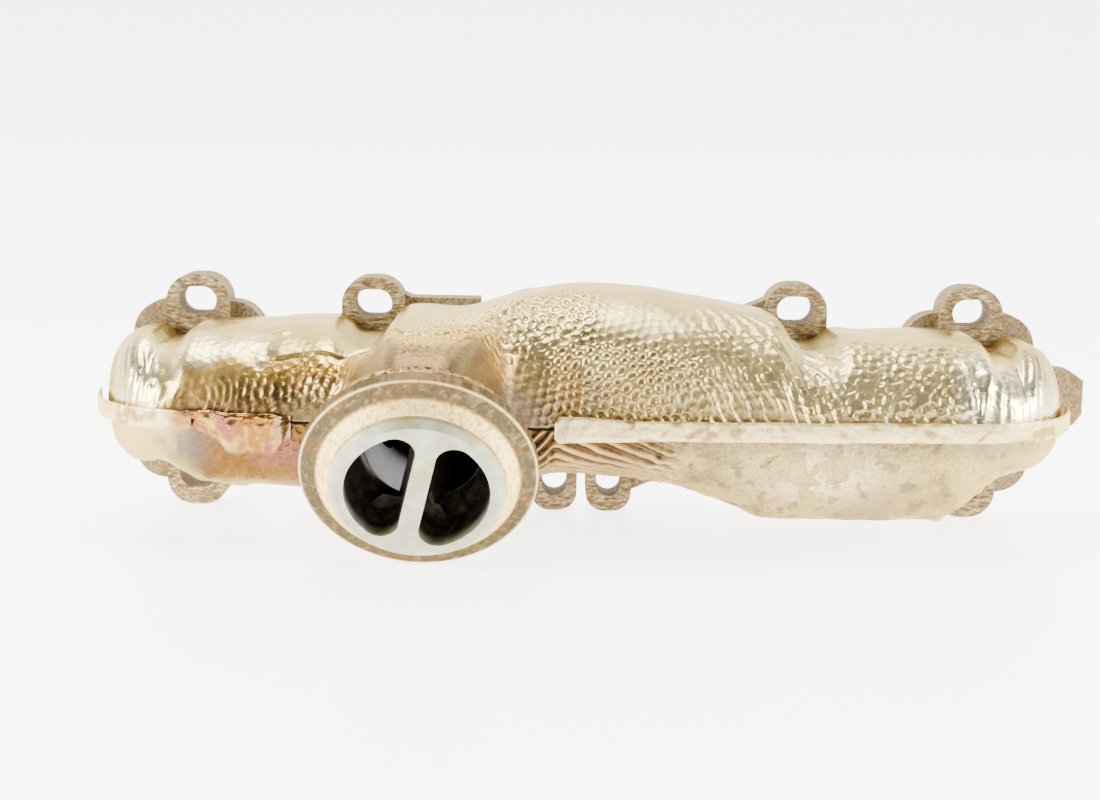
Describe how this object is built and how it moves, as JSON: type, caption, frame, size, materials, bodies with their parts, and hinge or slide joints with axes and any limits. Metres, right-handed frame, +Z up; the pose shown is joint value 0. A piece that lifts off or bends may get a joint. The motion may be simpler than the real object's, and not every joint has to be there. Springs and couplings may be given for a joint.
{
  "type": "exhaust manifold",
  "caption": "Exhaust manifold with flanged ports along a cylinder head, pipes inside an insulated foil heat shield, and a tilted, divided outlet for a turbocharger.",
  "frame": {"origin": "on the cylinder-head face, at the centre of the rectangle of the four outer bolts", "axes": "+X along the row of ports, away from the end with the outlet; +Y out of the flanges into the cylinder head; +Z up"},
  "size_m": [0.3571, 0.1476, 0.0855],
  "materials": {
    "flange_casting": "rough cast stainless steel with machined bolt faces and rust",
    "pipe_steel": "heat-darkened tube",
    "collector_casting": "cast stainless steel, machined at the spigot",
    "outlet_ring": "rusty forged ring with a bright seat",
    "weld_metal": "dull weld bead",
    "outer_foil": "crumpled, dimpled stainless foil with straw and bronze heat colours",
    "inner_foil": "dull stainless foil",
    "fibre_mat": "needled glass fibre",
    "hem_foil": "folded stainless foil, pale straw"
  },
  "bodies": {
    "root": {"port_flange_1": "flange_casting", "port_flange_2": "flange_casting", "port_flange_3": "flange_casting", "port_flange_4": "flange_casting", "port_pipe_1": "pipe_steel", "port_pipe_2": "pipe_steel", "port_pipe_3": "pipe_steel", "port_pipe_4": "pipe_steel", "right_log": "pipe_steel", "collector": "collector_casting", "outlet_flange": "outlet_ring", "flange_welds": "weld_metal", "pipe_welds": "weld_metal", "outlet_weld": "weld_metal", "upper_outer_foil": "outer_foil", "lower_outer_foil": "outer_foil", "upper_fibre_mat": "fibre_mat", "lower_fibre_mat": "fibre_mat", "upper_inner_foil": "inner_foil", "lower_inner_foil": "inner_foil", "left_hem": "hem_foil", "right_hem": "hem_foil"}
  },
  "joints": []
}
